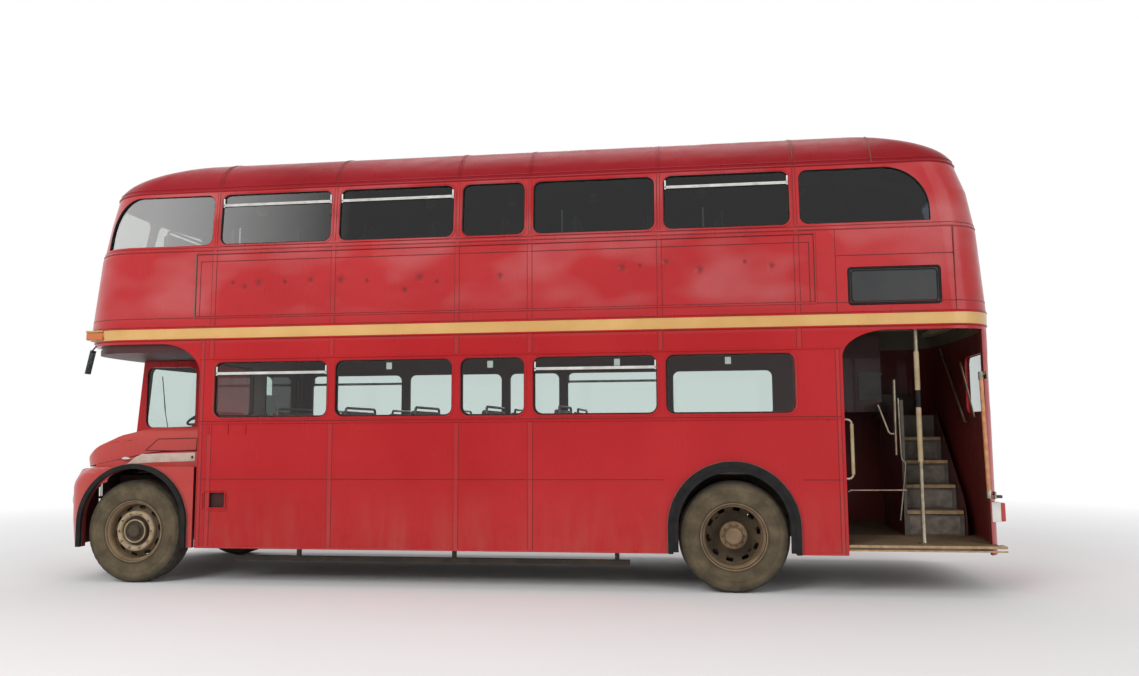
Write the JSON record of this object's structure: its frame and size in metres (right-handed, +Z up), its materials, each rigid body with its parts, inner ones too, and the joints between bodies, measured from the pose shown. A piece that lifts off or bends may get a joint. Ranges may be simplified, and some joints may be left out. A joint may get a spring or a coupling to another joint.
{
  "type": "double decker bus",
  "caption": "Half-cab double decker bus, deep red with a gold band, with an open rear platform, stairs, side bonnet and seats on both decks",
  "frame": {"origin": "on the ground under the middle of the bus, at the bottom centre of its bounding box", "axes": "+X to the rear, +Y to the driver's side with the nearside platform entrance on -Y, +Z up"},
  "size_m": [9.0898, 2.438, 4.38],
  "materials": {
    "body_paint": "gloss",
    "inner_paint": "satin",
    "floor_boards": "satin",
    "chassis_paint": "matt",
    "wheel_paint": "matt",
    "tyre_rubber": "matt",
    "trim_rubber": "matt",
    "window_glass": "clear",
    "seat_fabric": "woven",
    "bright_metal": "polished",
    "lamp_lens": "clear",
    "black_fittings": "satin"
  },
  "bodies": {
    "body": {"lower_side_near": "body_paint", "lower_side_off": "body_paint", "lower_rear": "body_paint", "cab_shell": "body_paint", "front_panel": "body_paint", "front_wing": "body_paint", "upper_front": "body_paint", "upper_side_near": "body_paint", "upper_side_off": "body_paint", "upper_rear": "body_paint", "roof_front": "body_paint", "roof_centre": "body_paint", "roof_rear": "body_paint", "front_bulkhead": "inner_paint", "upper_floor": "inner_paint", "staircase": "inner_paint", "lower_floor": "floor_boards", "platform": "floor_boards", "underframe": "chassis_paint", "engine_and_driveline": "chassis_paint", "front_axle": "chassis_paint", "rear_axle": "chassis_paint", "arch_rubbers": "trim_rubber", "lower_glass": "window_glass", "upper_glass": "window_glass", "lower_seats": "seat_fabric", "upper_seats": "seat_fabric", "grille": "bright_metal", "handrails": "bright_metal", "lamps": "lamp_lens", "mirrors": "black_fittings"},
    "steer_left": {"knuckle_left": "chassis_paint"},
    "steer_right": {"knuckle_right": "chassis_paint"},
    "wheel_front_left": {"front_left_tyre": "tyre_rubber", "front_left_rim": "wheel_paint"},
    "wheel_front_right": {"front_right_tyre": "tyre_rubber", "front_right_rim": "wheel_paint"},
    "wheel_rear_left": {"rear_left_tyres": "tyre_rubber", "rear_left_rims": "wheel_paint"},
    "wheel_rear_right": {"rear_right_tyres": "tyre_rubber", "rear_right_rims": "wheel_paint"},
    "cab_door": {"cab_door": "body_paint"},
    "bonnet_lid": {"bonnet_lid": "body_paint"},
    "emergency_window": {"emergency_window": "body_paint"},
    "steering_wheel": {"steering_wheel": "black_fittings"}
  },
  "joints": [
    {"name": "steer_left_turn", "type": "hinge", "parent": "body", "child": "steer_left", "pos_m": [-3.683, -0.94, 0.5], "axis": [0, 0, 1], "range_deg": [-35, 35]},
    {"name": "steer_right_turn", "type": "hinge", "parent": "body", "child": "steer_right", "pos_m": [-3.683, 0.94, 0.5], "axis": [0, 0, 1], "range_deg": [-35, 35]},
    {"name": "wheel_front_left_spin", "type": "hinge", "parent": "steer_left", "child": "wheel_front_left", "pos_m": [-3.683, 0, 0.5], "axis": [0, 1, 0], "continuous": true},
    {"name": "wheel_front_right_spin", "type": "hinge", "parent": "steer_right", "child": "wheel_front_right", "pos_m": [-3.683, 0, 0.5], "axis": [0, 1, 0], "continuous": true},
    {"name": "wheel_rear_left_spin", "type": "hinge", "parent": "body", "child": "wheel_rear_left", "pos_m": [2.159, 0, 0.5], "axis": [0, 1, 0], "continuous": true},
    {"name": "wheel_rear_right_spin", "type": "hinge", "parent": "body", "child": "wheel_rear_right", "pos_m": [2.159, 0, 0.5], "axis": [0, 1, 0], "continuous": true},
    {"name": "cab_door_slide", "type": "slide", "parent": "body", "child": "cab_door", "axis": [1, 0, 0], "range_m": [0, 0.62]},
    {"name": "bonnet_lid_lift", "type": "hinge", "parent": "body", "child": "bonnet_lid", "pos_m": [-3.8, -0.06, 1.544], "axis": [-1, 0, 0], "range_deg": [0, 45]},
    {"name": "emergency_window_drop", "type": "hinge", "parent": "body", "child": "emergency_window", "pos_m": [4.4885, 0, 3.296], "axis": [0, 1, 0], "range_deg": [0, 90]},
    {"name": "steering_wheel_turn", "type": "hinge", "parent": "body", "child": "steering_wheel", "pos_m": [-3.905, 0.56, 1.66], "axis": [-0.4226, 0, 0.9063], "range_deg": [-630, 630]}
  ],
  "couplings": [
    {"joint": "steer_right_turn", "follows": "steer_left_turn", "ratio": 1},
    {"joint": "steering_wheel_turn", "follows": "steer_left_turn", "ratio": 18}
  ]
}
